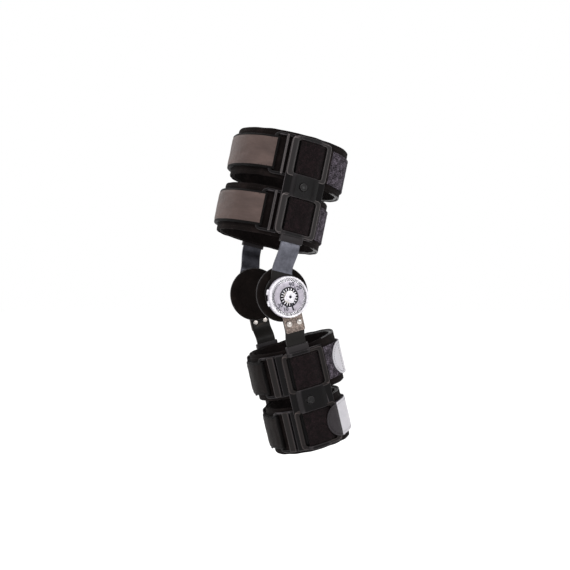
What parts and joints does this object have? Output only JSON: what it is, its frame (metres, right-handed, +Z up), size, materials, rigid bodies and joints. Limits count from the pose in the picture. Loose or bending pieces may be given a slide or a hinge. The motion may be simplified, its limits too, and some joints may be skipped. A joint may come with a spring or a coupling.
{
  "type": "knee brace",
  "caption": "Hinged range-of-motion knee brace: padded thigh and calf cuffs on telescoping uprights that meet at dialled hinges beside the knee.",
  "frame": {"origin": "on the knee's flexion axis, midway between the two hinges", "axes": "+Z up the leg, -Y the front of the knee, +X the outer side of a left leg"},
  "size_m": [0.1726, 0.2134, 0.4845],
  "materials": {
    "moulded_plate": "moulded black plastic, lightly polished on the raised rails",
    "hinge_steel": "brushed stainless steel",
    "thigh_bar_metal": "blue-grey anodised",
    "calf_bar_coated": "black coated",
    "button_black": "moulded",
    "pad_foam": "black brushed fabric over foam",
    "rivet_steel": "polished stainless steel",
    "stop_plastic": "pale moulded plastic",
    "dial_clear": "clear polycarbonate",
    "dial_grey": "silver-grey",
    "liner_foam": "black brushed fabric laminated to foam",
    "loop_fabric": "unbrushed black loop fabric with a faint violet glint",
    "strap_pad": "smooth brown-black laminated strap pad",
    "strap_black": "black woven strap",
    "strap_grey": "light grey satin webbing",
    "hook_tab": "dark grey stiff hook tab"
  },
  "bodies": {
    "thigh_cuffs": {"lateral_thigh_plate": "moulded_plate", "medial_thigh_plate": "moulded_plate", "lower_thigh_liner": "liner_foam", "lower_thigh_front_strap": "strap_pad", "lower_thigh_rear_strap": "loop_fabric", "lower_thigh_closure_strap": "strap_pad", "lower_thigh_closure_tab": "hook_tab", "upper_thigh_liner": "liner_foam", "upper_thigh_front_strap": "strap_pad", "upper_thigh_rear_strap": "loop_fabric", "upper_thigh_closure_strap": "strap_pad", "upper_thigh_closure_tab": "hook_tab"},
    "hinge_frame": {"lateral_thigh_bar": "thigh_bar_metal", "lateral_condyle_pad": "pad_foam", "lateral_pad_plate": "moulded_plate", "lateral_pivot_pin": "rivet_steel", "lateral_pivot_washer": "stop_plastic", "medial_thigh_bar": "thigh_bar_metal", "medial_condyle_pad": "pad_foam", "medial_pad_plate": "moulded_plate", "medial_pivot_pin": "rivet_steel", "medial_pivot_washer": "stop_plastic"},
    "calf_frame": {"lateral_calf_hinge_plate": "hinge_steel", "lateral_calf_bar": "calf_bar_coated", "lateral_calf_rivet_1": "rivet_steel", "lateral_calf_rivet_2": "rivet_steel", "lateral_dial_base": "dial_grey", "lateral_dial_cover": "dial_clear", "lateral_spring_washer": "rivet_steel", "lateral_dial_knob": "dial_grey", "medial_calf_hinge_plate": "hinge_steel", "medial_calf_bar": "calf_bar_coated", "medial_calf_rivet_1": "rivet_steel", "medial_calf_rivet_2": "rivet_steel", "medial_dial_base": "dial_grey", "medial_dial_cover": "dial_clear", "medial_spring_washer": "rivet_steel", "medial_dial_knob": "dial_grey"},
    "calf_cuffs": {"lateral_calf_plate": "moulded_plate", "medial_calf_plate": "moulded_plate", "upper_calf_liner": "liner_foam", "upper_calf_front_strap": "strap_black", "upper_calf_rear_strap": "loop_fabric", "upper_calf_closure_strap": "strap_grey", "upper_calf_closure_tab": "hook_tab", "lower_calf_liner": "liner_foam", "lower_calf_front_strap": "strap_black", "lower_calf_rear_strap": "loop_fabric", "lower_calf_closure_strap": "strap_grey", "lower_calf_closure_tab": "hook_tab"},
    "lateral_extension_stop_ring": {"lateral_extension_stop": "stop_plastic"},
    "lateral_flexion_stop_ring": {"lateral_flexion_stop": "stop_plastic"},
    "lateral_thigh_lock": {"lateral_thigh_length_button": "button_black"},
    "lateral_calf_lock": {"lateral_calf_length_button": "button_black"},
    "medial_extension_stop_ring": {"medial_extension_stop": "stop_plastic"},
    "medial_flexion_stop_ring": {"medial_flexion_stop": "stop_plastic"},
    "medial_thigh_lock": {"medial_thigh_length_button": "button_black"},
    "medial_calf_lock": {"medial_calf_length_button": "button_black"}
  },
  "joints": [
    {"name": "thigh_length", "type": "slide", "parent": "thigh_cuffs", "child": "hinge_frame", "axis": [0, -0.2164, -0.9763], "range_m": [0, 0.045]},
    {"name": "knee_flexion", "type": "hinge", "parent": "hinge_frame", "child": "calf_frame", "pos_m": [0, 0, 0], "axis": [1, 0, 0], "range_deg": [-26.5, 68.5]},
    {"name": "calf_length", "type": "slide", "parent": "calf_frame", "child": "calf_cuffs", "axis": [0, 0.2419, -0.9703], "range_m": [0, 0.045]},
    {"name": "lateral_extension_stop_turn", "type": "hinge", "parent": "calf_frame", "child": "lateral_extension_stop_ring", "pos_m": [0.075, 0, 0], "axis": [1, 0, 0], "range_deg": [-30, 40]},
    {"name": "lateral_flexion_stop_turn", "type": "hinge", "parent": "calf_frame", "child": "lateral_flexion_stop_ring", "pos_m": [0.075, 0, 0], "axis": [1, 0, 0], "range_deg": [-40, 30]},
    {"name": "lateral_thigh_lock_press", "type": "slide", "parent": "thigh_cuffs", "child": "lateral_thigh_lock", "axis": [-1, 0, 0], "range_m": [0, 0.0018], "stiffness_N_per_m": 800, "springref_m": -0.001},
    {"name": "lateral_calf_lock_press", "type": "slide", "parent": "calf_cuffs", "child": "lateral_calf_lock", "axis": [-1, 0, 0], "range_m": [0, 0.0018], "stiffness_N_per_m": 800, "springref_m": -0.001},
    {"name": "medial_extension_stop_turn", "type": "hinge", "parent": "calf_frame", "child": "medial_extension_stop_ring", "pos_m": [-0.075, 0, 0], "axis": [1, 0, 0], "range_deg": [-30, 40]},
    {"name": "medial_flexion_stop_turn", "type": "hinge", "parent": "calf_frame", "child": "medial_flexion_stop_ring", "pos_m": [-0.075, 0, 0], "axis": [1, 0, 0], "range_deg": [-40, 30]},
    {"name": "medial_thigh_lock_press", "type": "slide", "parent": "thigh_cuffs", "child": "medial_thigh_lock", "axis": [1, 0, 0], "range_m": [0, 0.0018], "stiffness_N_per_m": 800, "springref_m": -0.001},
    {"name": "medial_calf_lock_press", "type": "slide", "parent": "calf_cuffs", "child": "medial_calf_lock", "axis": [1, 0, 0], "range_m": [0, 0.0018], "stiffness_N_per_m": 800, "springref_m": -0.001}
  ]
}
